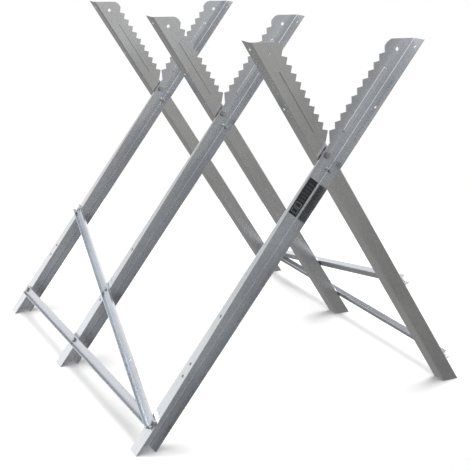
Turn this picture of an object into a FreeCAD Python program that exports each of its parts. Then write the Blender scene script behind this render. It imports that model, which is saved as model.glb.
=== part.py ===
"""Folding sawhorse: three crossed pairs of pressed sheet-steel legs with toothed jaws.

Each pair is one left leg and one right leg, back to back, on a pivot bolt. Two braces tie the
three left legs together and two tie the three right legs, so the stand folds like scissors about
one axis through the three pivot bolts.

World frame: millimetres, +X from the left feet to the right feet, +Y from the front pair to the
back pair, +Z up, origin on the floor under the middle of the stand.

Leg frame: X up the leg, Y across it from the smooth edge to the toothed edge, Z from the outside
of the web to the lips of the flanges. Its origin is where the smooth edge meets the floor. A right
leg is a left leg turned half round about the vertical.
"""
import FreeCAD, Part
import math
import os
import re
import Sketcher

Vector = FreeCAD.Vector

SIZES = {
    # the stand
    "stand_height": 780,        # floor to the cut tops of the legs
    "leg_slope": 54.64,         # degrees between a leg and the floor
    "jaw_depth": 176,           # height from the bottom of the V to the tops
    "frame_span": 770,          # front pair to back pair
    "middle_offset": 43.8,      # how far the middle pair stands behind the centre
    # leg section
    "sheet": 1.5,               # thickness of every pressed sheet
    "web_width": 35,            # channel, outside
    "flange_depth": 31.5,       # channel, outside
    "taper_start": 42,          # up the leg, where the toothed flange starts to narrow
    "shoulder_lip": 4.4,        # depth left of the toothed flange at its shoulder
    "bend_radius": 3,           # outside of each bend
    "blade_width": 50,          # web from the smooth edge to the tooth tips
    "top_corner_radius": 20,
    # teeth
    "tooth_pitch": 19.8,
    "tooth_depth": 8.8,
    "tooth_land": 0.6,          # flat on a tooth tip
    "last_tip_rise": 1.5,       # lowest tip above the bottom of the V, along the leg
    "shoulder_drop": 16.6,      # lowest tip down to the end of the toothed flange's gap
    # rib pressed into the blade
    "rib_width": 9,
    "rib_height": 2.2,
    "rib_across": 20,           # middle of the rib from the smooth edge
    "rib_top_gap": 83,          # top of the leg to the rib
    "rib_low_gap": 16,          # bottom of the V to the rib
    # holes in the leg
    "hole_depth": 18.3,         # flange holes, from the outside of the web, at the lowest row
    "plate_hole": 7.5,          # diameter near the top of the blade
    "plate_hole_drop": 40.4,
    "plate_hole_across": 21,
    "flange_hole": 6,           # diameter of the two holes in the smooth flange
    "high_flange_drop": 18.4,
    "low_flange_drop": 160.4,
    "low_row": 43,              # brace holes up the leg, lowest
    "high_row": 288.6,          # and highest
    # pivot and stop
    "pivot_bolt": 8,
    "pivot_play": 0.1,          # radial clearance on the pivot bolt
    "pivot_across": 22.5,
    "pivot_head": 13,           # across flats
    "pivot_head_height": 5.3,
    "pivot_nut_height": 8,
    "washer_thickness": 2,
    "washer_size": 20,
    "side_play": 0.2,           # free side movement of a leg on its pivot bolt
    "stop_drop": 27,            # stop pin below the pivot bolt when the stand is open
    "stop_pin": 5,
    "stop_head": 7.6,
    "stop_head_height": 2.4,
    "stop_collar": 8,
    "stop_proud": 1.2,          # pin end beyond the far web
    "slot_play": 0.4,           # clearance round the stop pin in its slot
    "fold_range": 68,           # degrees
    "slot_run_out": 12,         # degrees that the slot goes on past the folded pin
    # braces
    "brace_width": 18,
    "brace_lip": 11.5,          # height of a lip
    "brace_flare": 10,          # degrees that a lip leans outward
    "brace_end": 8,             # brace beyond its end holes
    "brace_bend_radius": 2.2,
    "spare_hole_at": 195,
    "nest_gap": 2.5,            # clearance where one brace crosses the other
    "nest_lift": 0.15,          # extra height of the diagonal at the shared bolt
    # brace fasteners
    "brace_bolt": 6,
    "bolt_play": 0.2,           # radial clearance on a brace bolt
    "brace_head": 10,           # across flats
    "brace_head_height": 4,
    "brace_nut_height": 5,
    "thread_proud": 2,          # bolt end beyond its nut
    # label
    "label_along": 531,
    "label_length": 81,
    "label_across": 4.6,
    "label_width": 23,
    "label_thickness": 0.25,
    # drawing help
    "overcut": 5,               # how far a cutting outline runs past the metal
}

DERIVED = {
    "web_gap": "=washer_thickness + side_play",
    "leg_reach": "=stand_height / sin(leg_slope)",
    "toe": "=web_width / tan(leg_slope)",
    "jaw_along": "=(stand_height - jaw_depth - blade_width * cos(leg_slope)) / sin(leg_slope)",
    "foot_offset": "=jaw_along * cos(leg_slope) - blade_width * sin(leg_slope)",
    "last_tip": "=jaw_along + last_tip_rise",
    "shoulder": "=last_tip - shoulder_drop",
    "corner_run": "=top_corner_radius * tan(leg_slope / 2)",
    "corner_along": "=leg_reach - blade_width / tan(leg_slope)",
    "tooth_gaps": "=floor((corner_along - corner_run - last_tip) / tooth_pitch)",
    "pivot_along": "=(foot_offset + pivot_across * sin(leg_slope)) / cos(leg_slope)",
    "stop_along": "=pivot_along - stop_drop * sin(leg_slope)",
    "stop_across": "=pivot_across - stop_drop * cos(leg_slope)",
    "open_angle": "=270 - leg_slope",
    "closed_angle": "=open_angle - fold_range - slot_run_out",
    "slot_half": "=stop_pin / 2 + slot_play",
    "rise": "=high_row - low_row",
    "far_run": "=frame_span / 2 + middle_offset",
    "near_run": "=frame_span / 2 - middle_offset",
    "near_row": "=low_row + rise * near_run / frame_span",
    "far_row": "=low_row + rise * far_run / frame_span",
    "flange_taper": "=(flange_depth - shoulder_lip) / (shoulder - taper_start)",
    "hole_drift": "=flange_taper / 2",
    "diagonal_run": "=frame_span + hole_drift * rise",
    "diagonal_span": "=sqrt(diagonal_run * diagonal_run + rise * rise)",
    "sink_run": "=diagonal_span + 2 * brace_end",
    "lip_spread": "=brace_lip * tan(brace_flare)",
    "lip_wall": "=sheet / cos(brace_flare)",
}

doc = FreeCAD.newDocument("folding_sawhorse")
sheet = doc.addObject("Spreadsheet::Sheet", "Sizes")
parts = []


def fill_sheet():
    rows = list(SIZES.items()) + list(DERIVED.items())
    for row, (alias, content) in enumerate(rows, start=1):
        sheet.set(f"A{row}", alias)
        sheet.set(f"B{row}", str(content))
        sheet.setAlias(f"B{row}", alias)
    doc.recompute()


def size(expression):
    """Number that an expression in the sheet's words comes to."""
    return float(sheet.evalExpression(expression))


def cell(expression):
    """The same expression as another object must write it, with the sheet's name before each word."""
    def spell(word):
        known = word.group() in SIZES or word.group() in DERIVED
        return "Sizes." + word.group() if known else word.group()

    return re.sub(r"[A-Za-z_]+", spell, expression)


def bind(thing, **sizes):
    """Tie an object's properties to expressions in the sheet's words."""
    for name, expression in sizes.items():
        thing.setExpression(name, cell(expression))


def keep(thing, label):
    """Name a finished sub-part. Its label is the name of its file."""
    thing.Label = label
    parts.append(thing)
    return thing


# ---------------------------------------------------------------- sketches and features

def new_sketch(body, plane, offset=None):
    sketch = body.newObject("Sketcher::SketchObject", "Sketch")
    base = [item for item in body.Origin.OriginFeatures if item.Role == plane][0]
    sketch.AttachmentSupport = [(base, "")]
    sketch.MapMode = "FlatFace"
    if offset:
        sketch.setExpression(".AttachmentOffset.Base.z", cell(offset))
    return sketch


def corner_point(corner):
    """Point given by two expressions."""
    return Vector(size(corner[0]), size(corner[1]), 0)


def pin_point(sketch, edge, end, corner):
    """Fix one end of an edge at a place given by two expressions."""
    for kind, expression in zip(("DistanceX", "DistanceY"), corner):
        constraint = Sketcher.Constraint(kind, -1, 1, edge, end, size(expression))
        number = sketch.addConstraint(constraint)
        sketch.setExpression(f"Constraints[{number}]", cell(expression))


def pin_centre(sketch, arc, expression):
    """Fix how far along X the centre of an arc lies. Its two ends fix the rest."""
    number = sketch.addConstraint(Sketcher.Constraint("DistanceX", -1, 1, arc, 3, size(expression)))
    sketch.setExpression(f"Constraints[{number}]", cell(expression))


def anticlockwise_arc(centre, first, last):
    circle = Part.Circle(centre, Vector(0, 0, 1), first.distanceToPoint(centre))
    angles = [math.atan2(point.y - centre.y, point.x - centre.x) for point in (first, last)]
    return Part.ArcOfCircle(circle, angles[0], angles[1])


def draw_outline(sketch, corners, bends=None):
    """Closed outline through corners. bends gives, for the edge that leaves a corner, the centre of an
    arc and its turn: 1 for anticlockwise, -1 for clockwise."""
    bends = bends or {}
    points = [corner_point(corner) for corner in corners]
    count = len(points)
    begins = []
    for index, start in enumerate(points):
        finish = points[(index + 1) % count]
        turn = 1
        if index in bends:
            centre, turn = bends[index]
            ends = (start, finish) if turn > 0 else (finish, start)
            sketch.addGeometry(anticlockwise_arc(corner_point(centre), *ends), False)
        else:
            sketch.addGeometry(Part.LineSegment(start, finish), False)
        begins.append(1 if turn > 0 else 2)
    for index in range(count):
        following = (index + 1) % count
        join = Sketcher.Constraint("Coincident", index, 3 - begins[index], following, begins[following])
        sketch.addConstraint(join)
    for index, corner in enumerate(corners):
        pin_point(sketch, index, begins[index], corner)
    for index, bend in bends.items():
        pin_centre(sketch, index, bend[0][0])


def draw_circles(sketch, centres, diameter):
    for centre in centres:
        middle = Vector(size(centre[0]), size(centre[1]), 0)
        edge = sketch.addGeometry(Part.Circle(middle, Vector(0, 0, 1), size(diameter) / 2), False)
        pin_point(sketch, edge, 3, centre)
        number = sketch.addConstraint(Sketcher.Constraint("Diameter", edge, size(diameter)))
        sketch.setExpression(f"Constraints[{number}]", cell(diameter))


def add_pad(body, sketch, length, reversed_side=False):
    pad = body.newObject("PartDesign::Pad", "Pad")
    pad.Profile = sketch
    pad.Reversed = reversed_side
    bind(pad, Length=length)
    return pad


def add_pocket(body, sketch, length, both_sides=True):
    """Pocket of a length, half to each side of its sketch, or all of it along the sketch's normal."""
    pocket = body.newObject("PartDesign::Pocket", "Pocket")
    pocket.Profile = sketch
    if both_sides:
        pocket.SideType = "Symmetric"
    else:
        pocket.Reversed = True
    bind(pocket, Length=length)
    return pocket


# ---------------------------------------------------------------- legs

def channel_corners():
    """Outline of the folded channel, and its four bends."""
    corners = [
        ("0", "flange_depth"), ("0", "bend_radius"),
        ("bend_radius", "0"), ("web_width - bend_radius", "0"),
        ("web_width", "bend_radius"), ("web_width", "flange_depth"),
        ("web_width - sheet", "flange_depth"), ("web_width - sheet", "bend_radius"),
        ("web_width - bend_radius", "sheet"), ("bend_radius", "sheet"),
        ("sheet", "bend_radius"), ("sheet", "flange_depth"),
    ]
    smooth_centre = ("bend_radius", "bend_radius")
    toothed_centre = ("web_width - bend_radius", "bend_radius")
    bends = {1: (smooth_centre, 1), 3: (toothed_centre, 1), 7: (toothed_centre, -1), 9: (smooth_centre, -1)}
    return corners, bends


def blade_corners():
    """Outline of the sheet above the V: one flange and a flat blade."""
    corners = [
        ("0", "flange_depth"), ("0", "bend_radius"),
        ("bend_radius", "0"), ("blade_width", "0"),
        ("blade_width", "sheet"), ("bend_radius", "sheet"),
        ("sheet", "bend_radius"), ("sheet", "flange_depth"),
    ]
    centre = ("bend_radius", "bend_radius")
    return corners, {1: (centre, 1), 5: (centre, -1)}


def add_leg_sheet(body):
    """The channel from below the floor to its shoulder, and the blade from there past the top."""
    channel = new_sketch(body, "YZ_Plane", "-toe - overcut")
    draw_outline(channel, *channel_corners())
    add_pad(body, channel, "toe + overcut + shoulder")
    blade = new_sketch(body, "YZ_Plane", "shoulder")
    draw_outline(blade, *blade_corners())
    add_pad(body, blade, "leg_reach - shoulder + overcut")


def trim_leg_ends(body):
    """Cut the foot and the top level with the floor, and round the toothed corner of the top."""
    foot = new_sketch(body, "XY_Plane")
    draw_outline(foot, [
        ("overcut / tan(leg_slope)", "-overcut"),
        ("-(web_width + overcut) / tan(leg_slope)", "web_width + overcut"),
        ("-toe - 2 * overcut", "web_width + overcut"),
        ("-toe - 2 * overcut", "-overcut"),
    ])
    add_pocket(body, foot, "2 * (flange_depth + overcut)")
    top = new_sketch(body, "XY_Plane")
    flat_end = ("corner_along + corner_run * cos(leg_slope)", "blade_width - corner_run * sin(leg_slope)")
    edge_end = ("corner_along - corner_run", "blade_width")
    rounding = (("corner_along - corner_run", "blade_width - top_corner_radius"), 1)
    draw_outline(top, [
        ("leg_reach + overcut / tan(leg_slope)", "-overcut"),
        flat_end,
        edge_end,
        ("corner_along - corner_run", "blade_width + overcut"),
        ("leg_reach + 2 * overcut", "blade_width + overcut"),
        ("leg_reach + 2 * overcut", "-overcut"),
    ], {1: rounding})
    add_pocket(body, top, "2 * (flange_depth + overcut)")


def cut_teeth(body):
    """One notch repeated up the blade, and the slope from the lowest tooth to the shoulder."""
    through = "2 * (sheet + overcut)"
    notch = new_sketch(body, "XY_Plane")
    draw_outline(notch, [
        ("last_tip + tooth_land / 2", "blade_width + overcut"),
        ("last_tip + tooth_land / 2", "blade_width"),
        ("last_tip + tooth_pitch / 2", "blade_width - tooth_depth"),
        ("last_tip + tooth_pitch - tooth_land / 2", "blade_width"),
        ("last_tip + tooth_pitch - tooth_land / 2", "blade_width + overcut"),
    ])
    first = add_pocket(body, notch, through)
    doc.recompute()
    row = body.newObject("PartDesign::LinearPattern", "Teeth")
    row.Originals = [first]
    row.Direction = (notch, ["H_Axis"])
    bind(row, Length="(tooth_gaps - 1) * tooth_pitch", Occurrences="tooth_gaps")
    body.Tip = row
    shoulder = new_sketch(body, "XY_Plane")
    draw_outline(shoulder, [
        ("last_tip - tooth_land / 2", "blade_width + overcut"),
        ("last_tip - tooth_land / 2", "blade_width"),
        ("last_tip - tooth_pitch / 2", "blade_width - tooth_depth"),
        ("shoulder", "web_width"),
        ("shoulder - overcut", "web_width"),
        ("shoulder - overcut", "blade_width + overcut"),
    ])
    add_pocket(body, shoulder, through)


def draw_stadium(sketch, start, finish, middle, width):
    """Outline with two straight sides and round ends, between two places along the leg."""
    low = f"{middle} - ({width}) / 2"
    high = f"{middle} + ({width}) / 2"
    near = f"{start} + ({width}) / 2"
    far = f"{finish} - ({width}) / 2"
    corners = [(near, low), (far, low), (far, high), (near, high)]
    draw_outline(sketch, corners, {1: ((far, middle), 1), 3: ((near, middle), 1)})


def round_edges(body, base, radius, wanted):
    """Fillet the edges of the last feature that a test picks."""
    doc.recompute()
    names = [f"Edge{number}" for number, edge in enumerate(base.Shape.Edges, start=1) if wanted(edge)]
    fillet = body.newObject("PartDesign::Fillet", "Round")
    fillet.Base = (base, names)
    bind(fillet, Radius=radius)
    return fillet


def press_rib(body):
    """Stiffening rib: raised on the flange side of the blade, hollow behind."""
    start = "jaw_along + rib_low_gap"
    finish = "leg_reach - rib_top_gap"
    raised = new_sketch(body, "XY_Plane")
    draw_stadium(raised, start, finish, "rib_across", "rib_width")
    pad = add_pad(body, raised, "sheet + rib_height")
    top = size("sheet + rib_height")
    round_edges(body, pad, "rib_height * 0.7", lambda edge: edge_lies_at(edge, top))
    hollow = new_sketch(body, "XY_Plane")
    draw_stadium(hollow, f"{start} + sheet", f"{finish} - sheet", "rib_across", "rib_width - 2 * sheet")
    add_pocket(body, hollow, "rib_height", both_sides=False)


def edge_lies_at(edge, height):
    box = edge.BoundBox
    return abs(box.ZMin - height) < 1e-4 and abs(box.ZMax - height) < 1e-4


def drill_web(body, stop_hole):
    """Pivot hole and plate hole, with the stop pin's hole where the leg carries the pin."""
    through = "2 * (sheet + overcut)"
    pivot = new_sketch(body, "XY_Plane")
    draw_circles(pivot, [("pivot_along", "pivot_across")], "pivot_bolt + 2 * pivot_play")
    add_pocket(body, pivot, through)
    plate = new_sketch(body, "XY_Plane")
    draw_circles(plate, [("leg_reach - plate_hole_drop", "plate_hole_across")], "plate_hole")
    add_pocket(body, plate, through)
    if stop_hole:
        pin = new_sketch(body, "XY_Plane")
        draw_circles(pin, [("stop_along", "stop_across")], "stop_pin + 2 * pivot_play")
        add_pocket(body, pin, through)


def cut_stop_slot(body):
    """Arc slot for the other leg's stop pin. It runs out through the bend of the toothed flange."""
    def polar(radius, angle):
        return (f"pivot_along + ({radius}) * cos({angle})", f"pivot_across + ({radius}) * sin({angle})")

    inner = "stop_drop - slot_half"
    outer = "stop_drop + slot_half"
    pivot = ("pivot_along", "pivot_across")
    slot = new_sketch(body, "XY_Plane")
    corners = [
        polar(inner, "closed_angle"), polar(inner, "open_angle"),
        polar(outer, "open_angle"), polar(outer, "closed_angle"),
    ]
    draw_outline(slot, corners, {0: (pivot, 1), 1: (polar("stop_drop", "open_angle"), -1), 2: (pivot, -1)})
    add_pocket(body, slot, "sheet + stop_proud + side_play + slot_play", both_sides=False)


def taper_toothed_flange(body):
    """Sloping lip of the toothed flange, from full depth near the foot to a low lip at the shoulder."""
    lip = new_sketch(body, "XZ_Plane", "-(web_width - sheet / 2)")
    draw_outline(lip, [
        ("taper_start", "flange_depth"),
        ("shoulder + overcut", "shoulder_lip - flange_taper * overcut"),
        ("shoulder + overcut", "flange_depth + overcut"),
        ("taper_start", "flange_depth + overcut"),
    ])
    add_pocket(body, lip, "3 * sheet")


def row_depth(row):
    """Depth of a brace hole, which follows the middle of the tapering flange."""
    return f"hole_depth - hole_drift * ({row} - low_row)"


def drill_flanges(body):
    """Four brace holes in the toothed flange and two spare holes in the smooth one."""
    rows = ["low_row", "near_row", "far_row", "high_row"]
    toothed = new_sketch(body, "XZ_Plane", "-(web_width - sheet / 2)")
    draw_circles(toothed, [(row, row_depth(row)) for row in rows], "brace_bolt + 2 * bolt_play")
    add_pocket(body, toothed, "3 * sheet")
    smooth = new_sketch(body, "XZ_Plane", "-sheet / 2")
    drops = ["leg_reach - high_flange_drop", "leg_reach - low_flange_drop"]
    draw_circles(smooth, [(drop, "hole_depth") for drop in drops], "flange_hole")
    add_pocket(body, smooth, "3 * sheet")


def make_leg(label, carries_pin):
    body = doc.addObject("PartDesign::Body", "Leg")
    add_leg_sheet(body)
    trim_leg_ends(body)
    cut_teeth(body)
    press_rib(body)
    drill_web(body, stop_hole=carries_pin)
    taper_toothed_flange(body)
    if not carries_pin:
        cut_stop_slot(body)
    drill_flanges(body)
    return keep(body, label)


# ---------------------------------------------------------------- places

def half_turn(placement):
    return FreeCAD.Placement(Vector(0, 0, 0), FreeCAD.Rotation(Vector(0, 0, 1), 180)) * placement


def leg_place(side, frame_y):
    """Placement of a leg frame on the left or the right of the pair that stands at frame_y."""
    slope = math.radians(size("leg_slope"))
    up = Vector(math.cos(slope), 0, math.sin(slope))
    across = Vector(-math.sin(slope), 0, math.cos(slope))
    turn = FreeCAD.Rotation(up, across, Vector(0, -1, 0), "XYZ")
    own_y = frame_y if side == "left" else -frame_y
    base = Vector(-size("foot_offset"), own_y - size("web_gap") / 2, 0)
    left = FreeCAD.Placement(base, turn)
    return left if side == "left" else half_turn(left)


def on_leg(side, frame_y, along, across, depth, turn=None):
    """Placement at a point of a leg, with the leg's axes or turned within them."""
    point = Vector(size(along), size(across), size(depth))
    local = FreeCAD.Placement(point, turn or FreeCAD.Rotation())
    return leg_place(side, frame_y) * local


def outward_turn():
    """Turn that points Z out of the toothed flange."""
    return FreeCAD.Rotation(Vector(1, 0, 0), -90)


# ---------------------------------------------------------------- fasteners

def hexagon(across_flats, height, chamfered_top=True):
    """Hexagonal block on Z = 0 with its upper corners turned off."""
    prism = doc.addObject("Part::Prism", "Hexagon")
    prism.Polygon = 6
    bind(prism, Circumradius=f"{across_flats} / sqrt(3)", Height=height)
    cone = doc.addObject("Part::Cone", "Chamfer")
    bind(cone, Radius1=f"{across_flats} * 0.48 + ({height}) * 1.7", Radius2=f"{across_flats} * 0.48")
    bind(cone, Height=height)
    block = doc.addObject("Part::Common", "HexBlock")
    block.Base = prism
    block.Tool = cone
    return block


def rod(diameter, length, lowest):
    cylinder = doc.addObject("Part::Cylinder", "Rod")
    bind(cylinder, Radius=f"({diameter}) / 2", Height=length)
    cylinder.setExpression(".Placement.Base.z", cell(lowest))
    return cylinder


def make_bolt(label, diameter, head, head_height, length, place):
    """Hexagon bolt: seat of the head at Z = 0, head above, shank below."""
    bolt = doc.addObject("Part::MultiFuse", "Bolt")
    bolt.Shapes = [hexagon(head, head_height), rod(diameter, length, f"-({length})")]
    bolt.Placement = place
    return keep(bolt, label)


def make_ring(label, outer, inner, height, lowest, place, hexagonal=False, collar=None):
    """Washer, or a nut when hexagonal, between two heights on Z, with an optional round collar above."""
    solid = hexagon(outer, height) if hexagonal else rod(outer, height, "0")
    if collar:
        top = rod(collar[0], collar[1], f"{height} - 0.01")
        joined = doc.addObject("Part::Fuse", "Collared")
        joined.Base = solid
        joined.Tool = top
        solid = joined
    hole = rod(inner, "4 * pivot_nut_height", "-pivot_nut_height")
    ring = doc.addObject("Part::Cut", "Ring")
    ring.Base = solid
    ring.Tool = hole
    ring.Placement = place * FreeCAD.Placement(Vector(0, 0, size(lowest)), FreeCAD.Rotation())
    return keep(ring, label)


def make_stop_pin(label, place):
    """Shouldered rivet: domed head, collar between the webs and a plain end in the other leg's slot."""
    ball = doc.addObject("Part::Sphere", "Dome")
    ball_radius = "stop_head * 0.75"
    bind(ball, Radius=ball_radius)
    ball.setExpression(".Placement.Base.z", cell(f"sheet + stop_head_height - {ball_radius}"))
    head = doc.addObject("Part::Common", "Head")
    head.Base = rod("stop_head", "stop_head_height", "sheet")
    head.Tool = ball
    collar = "washer_thickness - side_play"
    tip = "web_gap + sheet + stop_proud"
    pin = doc.addObject("Part::MultiFuse", "StopPin")
    pin.Shapes = [
        head,
        rod("stop_collar", collar, f"-({collar})"),
        rod("stop_pin", f"sheet + {tip}", f"-({tip})"),
    ]
    pin.Placement = place
    return keep(pin, label)


# ---------------------------------------------------------------- braces

def make_brace(span, holes):
    """Trough with leaning lips. X runs from its first bolt to its last, Z away from the legs."""
    body = doc.addObject("PartDesign::Body", "Brace")
    half = "brace_width / 2"
    section = new_sketch(body, "YZ_Plane", "-brace_end")
    draw_outline(section, [
        (f"-{half}", "0"), (half, "0"),
        (f"{half} + lip_spread", "brace_lip"), (f"{half} + lip_spread - lip_wall", "brace_lip"),
        (f"{half} - lip_wall + sheet * tan(brace_flare)", "sheet"),
        (f"-{half} + lip_wall - sheet * tan(brace_flare)", "sheet"),
        (f"-{half} - lip_spread + lip_wall", "brace_lip"), (f"-{half} - lip_spread", "brace_lip"),
    ])
    pad = add_pad(body, section, f"{span} + 2 * brace_end")

    def outside_bend(edge):
        box = edge.BoundBox
        return edge_lies_at(edge, 0) and box.XLength > 1 and box.YLength < 1e-4

    def inside_bend(edge):
        box = edge.BoundBox
        return edge_lies_at(edge, size("sheet")) and box.XLength > 1 and box.YLength < 1e-4

    outside = round_edges(body, pad, "brace_bend_radius", outside_bend)
    round_edges(body, outside, "brace_bend_radius - sheet", inside_bend)
    row = new_sketch(body, "XY_Plane")
    draw_circles(row, [(hole, "0") for hole in holes], "brace_bolt + 2 * bolt_play")
    add_pocket(body, row, "2 * (sheet + overcut)")
    return body


def brace_place(side, lean=0.0, lift=0.0):
    """Brace frame at the low hole of the first leg: the front one on the left, the back one on the right."""
    slope = math.radians(size("leg_slope"))
    up = Vector(math.cos(slope), 0, math.sin(slope))
    out = Vector(-math.sin(slope), 0, math.cos(slope))
    back = Vector(0, 1, 0)
    level = FreeCAD.Rotation(back, out.cross(back), out, "XYZ")
    first_y = -size("frame_span / 2 + web_gap / 2 + hole_depth")
    base = Vector(-size("foot_offset"), first_y, 0) + up * size("low_row") + out * (size("web_width") + lift)
    climb = FreeCAD.Rotation(Vector(0, 0, 1), -lean)
    sink = FreeCAD.Rotation(Vector(0, 1, 0), math.degrees(math.atan2(lift, size("sink_run"))))
    place = FreeCAD.Placement(base, level * climb * (sink if lift else FreeCAD.Rotation()))
    return place if side == "left" else half_turn(place)


def make_side_braces(side):
    """Level brace along the low holes, and the diagonal that starts on top of it."""
    middle = "far_run" if side == "left" else "near_run"
    scale = "diagonal_span / frame_span"
    lean = math.degrees(math.atan2(size("rise"), size("diagonal_run")))
    lift = size("sheet + nest_lift")

    diagonal = make_brace("diagonal_span", ["0", "spare_hole_at", f"{middle} * {scale}", "diagonal_span"])
    diagonal.Placement = brace_place(side, lean, lift)
    keep(diagonal, f"{side}_diagonal_brace")

    level = make_brace("frame_span", ["0", middle, "frame_span"])
    level.Placement = brace_place(side)
    relief = doc.addObject("Part::Box", "Relief")
    bind(relief, Length="frame_span / 4 + 2 * brace_end", Height="2 * brace_lip")
    bind(relief, Width="brace_width + 2 * lip_spread + 2 * nest_gap")
    corner = Vector(-size("2 * brace_end"), -size("brace_width / 2 + lip_spread + nest_gap"), 0)
    relief.Placement = brace_place(side, lean, lift) * FreeCAD.Placement(corner, FreeCAD.Rotation())
    nested = doc.addObject("Part::Cut", "LevelBrace")
    nested.Base = level
    nested.Tool = relief
    keep(nested, f"{side}_level_brace")


def bolt_brace(side, label, frame_y, row, stack):
    """Bolt through a brace and a toothed flange, with its nut inside the channel."""
    turn = outward_turn()
    length = f"sheet + ({stack}) + brace_nut_height + thread_proud"
    seat = on_leg(side, frame_y, row, f"web_width + {stack}", row_depth(row), turn)
    make_bolt(f"{label}_bolt", "brace_bolt", "brace_head", "brace_head_height", length, seat)
    inner = on_leg(side, frame_y, row, "web_width - sheet", row_depth(row), turn)
    flip = FreeCAD.Placement(Vector(0, 0, 0), FreeCAD.Rotation(Vector(1, 0, 0), 180))
    make_ring(f"{label}_nut", "brace_head", "brace_bolt", "brace_nut_height", "0", inner * flip, hexagonal=True)


def bolt_side(side, frames):
    """Five bolts: three along the level brace, the first shared, and two more up the diagonal."""
    first, middle, last = frames if side == "left" else frames[::-1]
    middle_row = "far_row" if side == "left" else "near_row"
    run = "far_run" if side == "left" else "near_run"
    lifted = f"(sheet + nest_lift) * (1 - {run} * diagonal_span / frame_span / sink_run)"
    landed = "(sheet + nest_lift) * (1 - diagonal_span / sink_run)"
    bolt_brace(side, f"{side}_{first[0]}_low", first[1], "low_row", "2 * sheet + nest_lift")
    bolt_brace(side, f"{side}_{middle[0]}_low", middle[1], "low_row", "sheet")
    bolt_brace(side, f"{side}_{last[0]}_low", last[1], "low_row", "sheet")
    bolt_brace(side, f"{side}_{middle[0]}_high", middle[1], middle_row, f"sheet + {lifted}")
    bolt_brace(side, f"{side}_{last[0]}_high", last[1], "high_row", f"sheet + {landed}")


# ---------------------------------------------------------------- crossings

def join_pair(name, frame_y):
    """Pivot bolt, washer and locknut, and the stop pin, of one pair of legs."""
    grip = "sheet + web_gap + sheet + side_play + pivot_nut_height + thread_proud"
    seat = on_leg("left", frame_y, "pivot_along", "pivot_across", "sheet")
    make_bolt(f"{name}_pivot_bolt", "pivot_bolt", "pivot_head", "pivot_head_height", grip, seat)
    web = on_leg("left", frame_y, "pivot_along", "pivot_across", "0")
    hole = "pivot_bolt + 2 * pivot_play"
    make_ring(f"{name}_pivot_washer", "washer_size", hole, "washer_thickness", "-washer_thickness", web)
    flip = FreeCAD.Placement(Vector(0, 0, 0), FreeCAD.Rotation(Vector(1, 0, 0), 180))
    nut_seat = "web_gap + sheet + side_play"
    nut_collar = ("pivot_head * 0.86", "pivot_nut_height * 0.3")
    make_ring(f"{name}_pivot_nut", "pivot_head", "pivot_bolt", "pivot_nut_height * 0.7", nut_seat,
              web * flip, hexagonal=True, collar=nut_collar)
    pin_place = on_leg("left", frame_y, "stop_along", "stop_across", "0")
    make_stop_pin(f"{name}_stop_pin", pin_place)


def make_label(frame_y):
    """Thin plain label on the web of the front left leg, between its flanges."""
    label = doc.addObject("Part::Box", "Label")
    bind(label, Length="label_length", Width="label_width", Height="label_thickness")
    label.Placement = on_leg("left", frame_y, "label_along", "label_across", "sheet")
    keep(label, "blank_label")


# ---------------------------------------------------------------- the whole stand

def check_document():
    """Stop on a failed object, an empty or broken shape, or a cut that removed nothing."""
    for thing in doc.Objects:
        if "Invalid" in thing.State or "Error" in thing.State:
            raise RuntimeError(f"{thing.Name} of {thing.Label} failed: {thing.State}")
        if thing.TypeId == "PartDesign::Pocket" and thing.Shape.Volume >= thing.BaseFeature.Shape.Volume - 1e-6:
            raise RuntimeError(f"{thing.Name} removes nothing")
    for part in parts:
        if part.Shape.isNull() or not part.Shape.isValid():
            raise RuntimeError(f"{part.Label} has no valid shape")
        if len(part.Shape.Solids) != 1:
            raise RuntimeError(f"{part.Label} is {len(part.Shape.Solids)} solids")


def build():
    fill_sheet()
    half = size("frame_span / 2")
    frames = [("front", -half), ("middle", size("middle_offset")), ("back", half)]
    for name, frame_y in frames:
        for side in ("left", "right"):
            leg = make_leg(f"{name}_{side}_leg", carries_pin=side == "left")
            leg.Placement = leg_place(side, frame_y)
        join_pair(name, frame_y)
    for side in ("left", "right"):
        make_side_braces(side)
        bolt_side(side, frames)
    make_label(frames[0][1])
    doc.recompute()
    check_document()
    os.makedirs("parts", exist_ok=True)
    for part in parts:
        part.Shape.exportStep(f"parts/{part.Label}.step")
        box = part.Shape.BoundBox
        print(f"{part.Label:28s} {part.Shape.Volume / 1000:9.2f} cm3  "
              f"x {box.XMin:8.2f} {box.XMax:8.2f}  y {box.YMin:8.2f} {box.YMax:8.2f}  z {box.ZMin:7.2f} {box.ZMax:7.2f}")
    print(len(parts), "parts")


build()
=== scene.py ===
# %% [markdown]
# # Folding sawhorse
# A folding sawhorse holds a log in three pairs of crossed legs. Each leg is one strip of
# galvanised steel, folded into a channel below and cut into teeth above. The shapes come from the
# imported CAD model, so this lesson is about finishes, small threads, a printed film and light.
# Everything is in metres, and every place is read from the model's own boxes.

# %% Load the frame
import math

import bpy
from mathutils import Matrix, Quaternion, Vector


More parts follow.
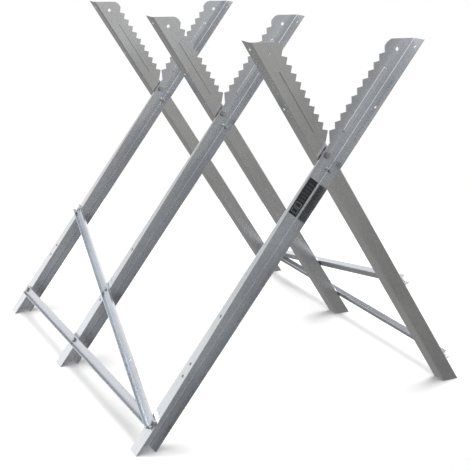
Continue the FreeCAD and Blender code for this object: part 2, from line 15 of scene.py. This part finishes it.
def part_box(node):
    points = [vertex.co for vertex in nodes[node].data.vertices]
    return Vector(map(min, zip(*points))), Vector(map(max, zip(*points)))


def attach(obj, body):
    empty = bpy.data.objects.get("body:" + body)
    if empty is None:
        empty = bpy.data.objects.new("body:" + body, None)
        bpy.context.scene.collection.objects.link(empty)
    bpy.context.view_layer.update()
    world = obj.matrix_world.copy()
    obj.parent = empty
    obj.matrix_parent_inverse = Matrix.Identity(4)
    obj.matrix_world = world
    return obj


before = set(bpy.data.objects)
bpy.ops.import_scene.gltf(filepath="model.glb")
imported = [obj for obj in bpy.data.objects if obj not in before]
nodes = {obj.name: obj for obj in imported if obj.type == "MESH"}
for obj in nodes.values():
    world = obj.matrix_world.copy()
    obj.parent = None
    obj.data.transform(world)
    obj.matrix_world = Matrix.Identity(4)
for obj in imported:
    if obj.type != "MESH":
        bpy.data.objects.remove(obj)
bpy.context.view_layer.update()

# %% [markdown]
# ## Which way the sheet runs
# Rolling marks and zinc streaks follow the length of a leg, so a pattern has to be turned to lie
# along it. The slope could be typed in, but it is safer to measure it: two brace bolts of one leg
# give two points on its line.

# %% Measure the slope of the legs
def middle_of(node):
    low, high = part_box(node)
    return (low + high) / 2


def leg_slope():
    """Angle between a leg and the floor, from two bolts of one leg."""
    low = middle_of("left_back_low_bolt")
    high = middle_of("left_back_high_bolt")
    return math.atan2(high.z - low.z, high.x - low.x)


slope = leg_slope()
print("leg slope in degrees:", round(math.degrees(slope), 2))

# %% [markdown]
# ## Shader maths as plain expressions
# A finish is a small network of nodes. Wiring each one by hand hides the idea, so one class wraps
# a socket and lets Python's own signs add the Math nodes, and one method makes any other node.

# %% Sockets that can be added and multiplied
class Value:
    """One output socket, which can be used in an expression."""

    def __init__(self, tree, socket):
        self.tree = tree
        self.socket = socket

    def math(self, operation, first, second):
        return self.tree.node("ShaderNodeMath", {"operation": operation}, {0: first, 1: second})

    def __add__(self, other):
        return self.math("ADD", self, other)

    def __radd__(self, other):
        return self.math("ADD", other, self)

    def __sub__(self, other):
        return self.math("SUBTRACT", self, other)

    def __rsub__(self, other):
        return self.math("SUBTRACT", other, self)

    def __mul__(self, other):
        return self.math("MULTIPLY", self, other)

    def __rmul__(self, other):
        return self.math("MULTIPLY", other, self)

    def beside(self, name):
        """Another output of the same node."""
        return Value(self.tree, self.socket.node.outputs[name])

    def between(self, low, high):
        """1 where the value lies between two numbers, 0 elsewhere."""
        return self.math("GREATER_THAN", self, low) * self.math("LESS_THAN", self, high)

    def ramp(self, start, stop, first, last):
        """A smooth change from first to last while the value goes from start to stop."""
        inputs = {"Value": self, "From Min": start, "From Max": stop, "To Min": first, "To Max": last}
        return self.tree.node("ShaderNodeMapRange", {"interpolation_type": "SMOOTHSTEP"}, inputs)


class Tree:
    """A node tree, with one method that adds a node, its settings and its inputs."""

    def __init__(self, tree):
        self.tree = tree

    def node(self, kind, settings=None, inputs=None, take=0):
        made = self.tree.nodes.new(kind)
        for name, setting in (settings or {}).items():
            setattr(made, name, setting)
        for name, value in (inputs or {}).items():
            socket = made.inputs[name]
            if isinstance(value, Value):
                self.tree.links.new(value.socket, socket)
            else:
                socket.default_value = value
        return Value(self, made.outputs[take]) if len(made.outputs) else made


print("expressions ready")

# %% [markdown]
# ## Galvanised sheet
# Hot-dip zinc on rolled steel is a metal with a soft shine. Close up it shows a faint patchwork of
# crystals, and longer clouds and hairlines along the rolling direction. A photograph of zinc would
# be one way to paint it, but noise in real sizes stays sharp at any distance and has no seams, so
# Voronoi cells make the crystals and stretched noise makes the hairlines.

# %% Helpers for a metal finish
def new_finish(name):
    """An empty material and its tree."""
    material = bpy.data.materials.new(name)
    material.use_nodes = True
    material.node_tree.nodes.clear()
    return material, Tree(material.node_tree)


def close_finish(tree, inputs):
    """The surface shader and the output that end a material."""
    shader = tree.node("ShaderNodeBsdfPrincipled", {}, inputs)
    output = tree.tree.nodes.new("ShaderNodeOutputMaterial")
    tree.tree.links.new(shader.socket, output.inputs["Surface"])


def turned_place(tree, turn, scale=(1, 1, 1), shift=(0, 0, 0)):
    """Object coordinates turned so that X runs along the piece."""
    place = tree.node("ShaderNodeTexCoord", {}, {}, take="Object")
    inputs = {"Vector": place, "Rotation": turn, "Scale": scale, "Location": shift}
    return tree.node("ShaderNodeMapping", {"vector_type": "TEXTURE"}, inputs)


def noise(tree, place, scale, detail=3.0, roughness=0.5):
    inputs = {"Vector": place, "Scale": scale, "Detail": detail, "Roughness": roughness}
    return tree.node("ShaderNodeTexNoise", {}, inputs, take="Fac")


def shade_between(tree, factor, dark, light):
    """A colour from dark to light. A Mix node has sockets for each kind of data, so the colour
    sockets are found by their kind."""
    made = tree.tree.nodes.new("ShaderNodeMix")
    made.data_type = "RGBA"
    made.clamp_factor = True
    first, second = [socket for socket in made.inputs if socket.type == "RGBA"]
    first.default_value = (*dark, 1)
    second.default_value = (*light, 1)
    tree.tree.links.new(factor.socket, made.inputs["Factor"])
    return Value(tree, next(socket for socket in made.outputs if socket.type == "RGBA"))


print("finish helpers ready")


# %% Galvanised sheet, laid along a piece
# How many of each pattern there are to a metre, from the widest to the finest.
CLOUDS, HAIRLINES, GRIME, CRYSTALS = 5.0, 6.0, 38.0, 150.0
STREAK_STRETCH = (0.9, 0.02, 0.02)


def galvanised(name, turn, dark, light, gloss):
    """Zinc on rolled steel. turn lays the rolling direction along the piece."""
    material, tree = new_finish(name)
    place = turned_place(tree, turn)
    streaks_place = turned_place(tree, turn, scale=STREAK_STRETCH)
    crystals = tree.node("ShaderNodeTexVoronoi", {}, {"Vector": place, "Scale": CRYSTALS}, take="Color")
    flake = tree.node("ShaderNodeSeparateColor", {}, {"Color": crystals}, take="Red")
    clouds = noise(tree, place, CLOUDS, 3.0, 0.5)
    hairlines = noise(tree, streaks_place, HAIRLINES, 4.0, 0.55)
    grime = noise(tree, place, GRIME, 6.0, 0.65)
    tone = clouds * 0.57 + hairlines * 0.36 + flake * 0.07
    colour = shade_between(tree, tone.ramp(0.3, 0.7, 0.0, 1.0), dark, light)
    rough = gloss + (clouds - 0.5) * 0.06 + (flake - 0.5) * 0.03 + grime.ramp(0.58, 0.8, 0.0, 0.04)
    height = hairlines * 0.5 + flake * 0.3 + grime * 0.2
    bump_inputs = {"Strength": 0.03, "Distance": 0.0003, "Height": height}
    normal = tree.node("ShaderNodeBump", {}, bump_inputs)
    close_finish(tree, {"Base Color": colour, "Metallic": 1.0, "Roughness": rough, "Normal": normal})
    print("finish", name, "with", len(tree.tree.nodes), "nodes")
    return material


left_sheet = galvanised(
    "galvanised_left_leg", (0, -slope, 0), (0.63, 0.65, 0.675), (0.73, 0.755, 0.78), 0.27
)
right_sheet = galvanised(
    "galvanised_right_leg", (0, slope, 0), (0.64, 0.64, 0.635), (0.74, 0.74, 0.73), 0.27
)
brace_sheet = galvanised(
    "galvanised_brace", (0, 0, math.pi / 2), (0.52, 0.545, 0.58), (0.62, 0.645, 0.68), 0.28
)

# %% [markdown]
# ## Zinc-plated fasteners
# Bolts, nuts, washers and rivets are plated after they are made. They are a little warmer and
# smoother than the sheet, with fine turning marks. A little noise in the roughness is enough at
# their size, and the bump stays very small so that the hexagons keep their crisp corners.

# %% Plated steel
def plated():
    material, tree = new_finish("zinc_plated")
    place = turned_place(tree, (0, 0, 0))
    spots = noise(tree, place, 420.0, 4.0, 0.6)
    tone = noise(tree, place, 90.0, 3.0, 0.5)
    colour = shade_between(tree, tone.ramp(0.35, 0.65, 0.0, 1.0), (0.42, 0.42, 0.41), (0.58, 0.58, 0.56))
    rough = 0.30 + (spots - 0.5) * 0.2
    normal = tree.node("ShaderNodeBump", {}, {"Strength": 0.15, "Distance": 0.0002, "Height": spots})
    close_finish(tree, {"Base Color": colour, "Metallic": 1.0, "Roughness": rough, "Normal": normal})
    print("finish zinc_plated with", len(tree.tree.nodes), "nodes")
    return material


zinc = plated()

# %% [markdown]
# ## The label
# A dark film is stuck inside the front left leg. Real ones carry print, and this one carries only
# plain bars and two outlined boxes. They could be modelled, but ink has no thickness, so they are
# drawn by comparing the distance along and across the film with a few numbers.

# %% Printed film with plain bars
def label_film(node, turn):
    """Dark film. Two outlined boxes stand at its lower end, with bars of two or three widths above."""
    material, tree = new_finish("label_film")
    centre = middle_of(node)
    place = turned_place(tree, turn, shift=tuple(centre))
    along = tree.node("ShaderNodeSeparateXYZ", {}, {"Vector": place}, take="X")
    across = along.beside("Z")

    def patch(start, length, half_width):
        return along.between(start, start + length) * across.between(-half_width, half_width)

    def outlined(start, length, half_width, line):
        return patch(start, length, half_width) - patch(start + line, length - 2 * line, half_width - line)

    wide, middling, narrow = 0.009, 0.0075, 0.0065
    bar_length = 0.0025
    box = {"length": 0.010, "half_width": 0.008, "line": 0.0012}
    bar_rows = (
        (-0.008, wide), (-0.001, narrow), (0.006, wide), (0.013, narrow), (0.020, wide), (0.028, middling),
    )
    boxes = sum(outlined(start, **box) for start in (-0.035, -0.023))
    bars = sum(patch(start, bar_length, half_width) for start, half_width in bar_rows)
    ink = boxes * 0.55 + bars * 0.12
    fibre = noise(tree, place, 900.0, 3.0, 0.5)
    tone = ink + (fibre - 0.5) * 0.06
    colour = shade_between(tree, tone, (0.022, 0.023, 0.026), (0.50, 0.51, 0.52))
    rough = 0.42 + (fibre - 0.5) * 0.15
    normal = tree.node("ShaderNodeBump", {}, {"Strength": 0.05, "Distance": 0.0001, "Height": fibre})
    close_finish(tree, {"Base Color": colour, "Roughness": rough, "Normal": normal})
    print("finish label_film with", len(tree.tree.nodes), "nodes")
    return material


film = label_film("blank_label", (0, -slope, 0))

# %% [markdown]
# ## Finishes onto the frame
# Each CAD node keeps its mesh. Only the material in its slots changes, and the node's own name says
# what it is made of.

# %% Give each node its finish
def finish_for(name):
    if name.endswith("left_leg"):
        return left_sheet
    if name.endswith("right_leg"):
        return right_sheet
    if name.endswith("brace"):
        return brace_sheet
    if name.endswith("label"):
        return film
    return zinc


for name, piece in nodes.items():
    piece.data.materials.clear()
    piece.data.materials.append(finish_for(name))
print("finished nodes:", len(nodes))

# %% [markdown]
# ## Threads
# Each bolt ends in a short stretch of thread beyond its nut. A thread is a helix, so Geometry Nodes
# is a good fit: a spiral curve is swept with a small profile once, and an instance of it is set on
# every bolt end, turned to its bolt. The sizes are named inputs, so one tree serves both M6 and M8.

# %% Find the bolt ends
def bolt_end(name, outward):
    """Centre of the threaded end of a bolt whose head points outward."""
    spots = [vertex.co.copy() for vertex in nodes[name].data.vertices]
    lowest = min(spot.dot(outward) for spot in spots)
    tip = [spot for spot in spots if spot.dot(outward) < lowest + 1e-5]
    low = Vector([min(spot[axis] for spot in tip) for axis in range(3)])
    high = Vector([max(spot[axis] for spot in tip) for axis in range(3)])
    return (low + high) / 2


def bolt_ends(names, outward):
    return [(bolt_end(name, outward), outward) for name in names]


left_out = Vector((-math.sin(slope), 0, math.cos(slope)))
right_out = Vector((math.sin(slope), 0, math.cos(slope)))
front_out = Vector((0, -1, 0))
bolts = sorted(name for name in nodes if name.endswith("bolt"))
pivot_ends = bolt_ends([name for name in bolts if "pivot" in name], front_out)
left_ends = bolt_ends([name for name in bolts if name.startswith("left")], left_out)
right_ends = bolt_ends([name for name in bolts if name.startswith("right")], right_out)
print("bolt ends:", len(pivot_ends), len(left_ends), len(right_ends))


# %% A thread tree with named sizes
def thread_tree():
    tree = bpy.data.node_groups.new("bolt_thread", "GeometryNodeTree")
    face = tree.interface
    face.new_socket("Geometry", in_out="INPUT", socket_type="NodeSocketGeometry")
    for name in ("Shank Radius", "Pitch", "Turns", "Ridge"):
        face.new_socket(name, in_out="INPUT", socket_type="NodeSocketFloat")
    face.new_socket("Finish", in_out="INPUT", socket_type="NodeSocketMaterial")
    face.new_socket("Geometry", in_out="OUTPUT", socket_type="NodeSocketGeometry")
    steps = Tree(tree)
    entry = tree.nodes.new("NodeGroupInput")
    given = {socket.name: Value(steps, socket) for socket in entry.outputs if socket.name}
    helix = steps.node("GeometryNodeCurveSpiral", {}, {
        "Resolution": 24, "Rotations": given["Turns"], "Height": given["Turns"] * given["Pitch"],
        "Start Radius": given["Shank Radius"], "End Radius": given["Shank Radius"],
    })
    profile = steps.node("GeometryNodeCurvePrimitiveCircle", {}, {"Resolution": 4, "Radius": given["Ridge"]})
    ridge = steps.node("GeometryNodeCurveToMesh", {}, {
        "Curve": helix, "Profile Curve": profile, "Fill Caps": True,
    })
    axis = steps.node("GeometryNodeInputNamedAttribute", {"data_type": "FLOAT_VECTOR"}, {"Name": "outward"})
    turn = steps.node("FunctionNodeAlignRotationToVector", {"axis": "Z"}, {"Vector": axis})
    copies = steps.node("GeometryNodeInstanceOnPoints", {}, {
        "Points": given["Geometry"], "Instance": ridge, "Rotation": turn,
    })
    solid = steps.node("GeometryNodeRealizeInstances", {}, {"Geometry": copies})
    coated = steps.node("GeometryNodeSetMaterial", {}, {"Geometry": solid, "Material": given["Finish"]})
    leave = tree.nodes.new("NodeGroupOutput")
    tree.links.new(coated.socket, leave.inputs["Geometry"])
    return tree


thread = thread_tree()
print("thread tree nodes:", len(thread.nodes))


# %% Cut the threads
def cut_threads(name, ends, body, sizes):
    """A mesh of threads on bolt ends, which rides on one body. It keeps no modifier."""
    points = bpy.data.meshes.new(name + "_points")
    points.from_pydata([spot for spot, _ in ends], [], [])
    attribute = points.attributes.new("outward", "FLOAT_VECTOR", "POINT")
    attribute.data.foreach_set("vector", [number for _, way in ends for number in way])
    seeds = bpy.data.objects.new(name + "_points", points)
    bpy.context.scene.collection.objects.link(seeds)
    modifier = seeds.modifiers.new("Threads", "NODES")
    modifier.node_group = thread
    for item in thread.interface.items_tree:
        if item.in_out == "INPUT" and item.name in sizes:
            modifier[item.identifier] = sizes[item.name]
    evaluated = seeds.evaluated_get(bpy.context.evaluated_depsgraph_get())
    mesh = bpy.data.meshes.new_from_object(evaluated)
    mesh.name = name
    seeds.modifiers.remove(modifier)
    bpy.data.objects.remove(seeds)
    piece = bpy.data.objects.new(name, mesh)
    bpy.context.scene.collection.objects.link(piece)
    for polygon in mesh.polygons:
        polygon.use_smooth = True
    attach(piece, body)
    print(name, "faces:", len(mesh.polygons))


m8 = {"Shank Radius": 0.00398, "Pitch": 0.00125, "Turns": 1.4, "Ridge": 0.0003, "Finish": zinc}
m6 = {"Shank Radius": 0.00298, "Pitch": 0.001, "Turns": 1.7, "Ridge": 0.00025, "Finish": zinc}
cut_threads("pivot_bolt_threads", pivot_ends, "left_side", m8)
cut_threads("left_brace_threads", left_ends, "left_side", m6)
cut_threads("right_brace_threads", right_ends, "right_side", m6)

# %% [markdown]
# ## Floor and light
# Polished zinc shows what is around it, so the studio is most of the finish. A bright surround
# behind gives the pale edges. The front is dim below and above the horizon, so that the webs stay
# mid grey, and it brightens along the horizon, where the blades look. A pale floor would shine back
# from every web, so it is hidden from reflections. One soft lamp high above lays the shadows.

# %% Pale floor
def pale_floor(centre, reach, corners=96, drop=0.0003):
    """A round floor a little below the feet, hidden from reflections."""
    mesh = bpy.data.meshes.new("floor")
    turns = [2 * math.pi * corner / corners for corner in range(corners)]
    rim = [(centre[0] + reach * math.cos(turn), centre[1] + reach * math.sin(turn), -drop) for turn in turns]
    mesh.from_pydata(rim, [], [tuple(range(corners))])
    floor = bpy.data.objects.new("floor", mesh)
    bpy.context.scene.collection.objects.link(floor)
    material, tree = new_finish("pale_floor")
    place = turned_place(tree, (0, 0, 0))
    colour = shade_between(tree, noise(tree, place, 3.0), (0.86, 0.86, 0.86), (0.88, 0.88, 0.88))
    close_finish(tree, {"Base Color": colour, "Roughness": 0.7})
    mesh.materials.append(material)
    floor.visible_glossy = False


pale_floor(centre=(0.05, 0.30), reach=0.98)
print("floor laid")


# %% Surround and lamp
def surround(ground, front, sky, back, top, overhead, side):
    """A world that is bright behind, with a band of light along the horizon in front, fading sideways.

    Each ramp runs over one part of the direction, from -1 to 1. The camera sees plain white.
    """
    world = bpy.data.worlds.new("studio")
    world.use_nodes = True
    world.node_tree.nodes.clear()
    bpy.context.scene.world = world
    tree = Tree(world.node_tree)
    way = tree.node("ShaderNodeTexCoord", {}, {}, take="Generated")
    across = tree.node("ShaderNodeSeparateXYZ", {}, {"Vector": way}, take="X")
    depth = across.beside("Y")
    height = across.beside("Z")
    band = height.ramp(-0.2, -0.04, ground, front) * height.ramp(0.1, 0.22, 1.0, sky)
    ahead = band * across.ramp(0.48, 0.62, 1.0, side) * across.ramp(-0.62, -0.52, side, 1.0)
    behind = height.ramp(-0.4, -0.1, ground, back)
    level = ahead + depth.ramp(-0.5, 0.4, 0.0, 1.0) * (behind - ahead)
    strength = level + height.ramp(0.05, 0.5, 0.0, 1.0) * (top - level)
    strength = strength + height.ramp(0.52, 0.72, 0.0, 1.0) * (overhead - top)
    seen = tree.node("ShaderNodeLightPath", {}, {}, take="Is Camera Ray")
    strength = seen + (1 - seen) * strength
    glow = tree.node("ShaderNodeBackground", {}, {"Color": (1, 1, 1, 1), "Strength": strength})
    output = tree.tree.nodes.new("ShaderNodeOutputWorld")
    tree.tree.links.new(glow.socket, output.inputs["Surface"])


def soft_lamp(name, place, aim, size, power):
    """A wide lamp that shines from place towards aim. Its size is in metres and its power in watts."""
    lamp = bpy.data.lights.new(name, "AREA")
    lamp.shape = "RECTANGLE"
    lamp.size, lamp.size_y = size
    lamp.energy = power
    piece = bpy.data.objects.new(name, lamp)
    piece.location = place
    piece.rotation_mode = "QUATERNION"
    piece.rotation_quaternion = (Vector(place) - Vector(aim)).to_track_quat("Z", "Y")
    bpy.context.scene.collection.objects.link(piece)


surround(ground=0.31, front=0.84, sky=0.27, back=1.38, top=0.48, overhead=1.35, side=0.60)
soft_lamp("overhead", place=(0.4, 0.7, 5.0), aim=(0.05, 0.3, 0), size=(2.8, 2.4), power=170)
print("light set")

# %% [markdown]
# ## Camera
# The camera stands in front and to the left, above the stand, and looks down a little. A long lens
# keeps the legs from spreading. Its turn is built from two angles and a slight roll.

# %% Camera
def set_camera(place, azimuth, elevation, roll, lens, shift):
    """A camera with its angles in degrees and its lens in millimetres."""
    camera = bpy.data.cameras.new("camera")
    camera.lens = lens
    camera.sensor_width = 36
    camera.shift_x, camera.shift_y = shift
    camera.clip_end = 100
    turn, lift = math.radians(azimuth), math.radians(elevation)
    back = Vector((math.sin(turn) * math.cos(lift), -math.cos(turn) * math.cos(lift), math.sin(lift)))
    piece = bpy.data.objects.new("camera", camera)
    piece.location = place
    piece.rotation_mode = "QUATERNION"
    piece.rotation_quaternion = back.to_track_quat("Z", "Y") @ Quaternion((0, 0, 1), math.radians(roll))
    bpy.context.scene.collection.objects.link(piece)
    bpy.context.scene.camera = piece


set_camera(
    place=(-1.1315, -2.0099, 1.0166), azimuth=-26.604, elevation=17.106, roll=1.929, lens=78.487,
    shift=(0.1182, -0.0327),
)
bpy.context.scene.view_settings.view_transform = "Standard"
bpy.context.scene.view_settings.look = "None"
print("camera set")
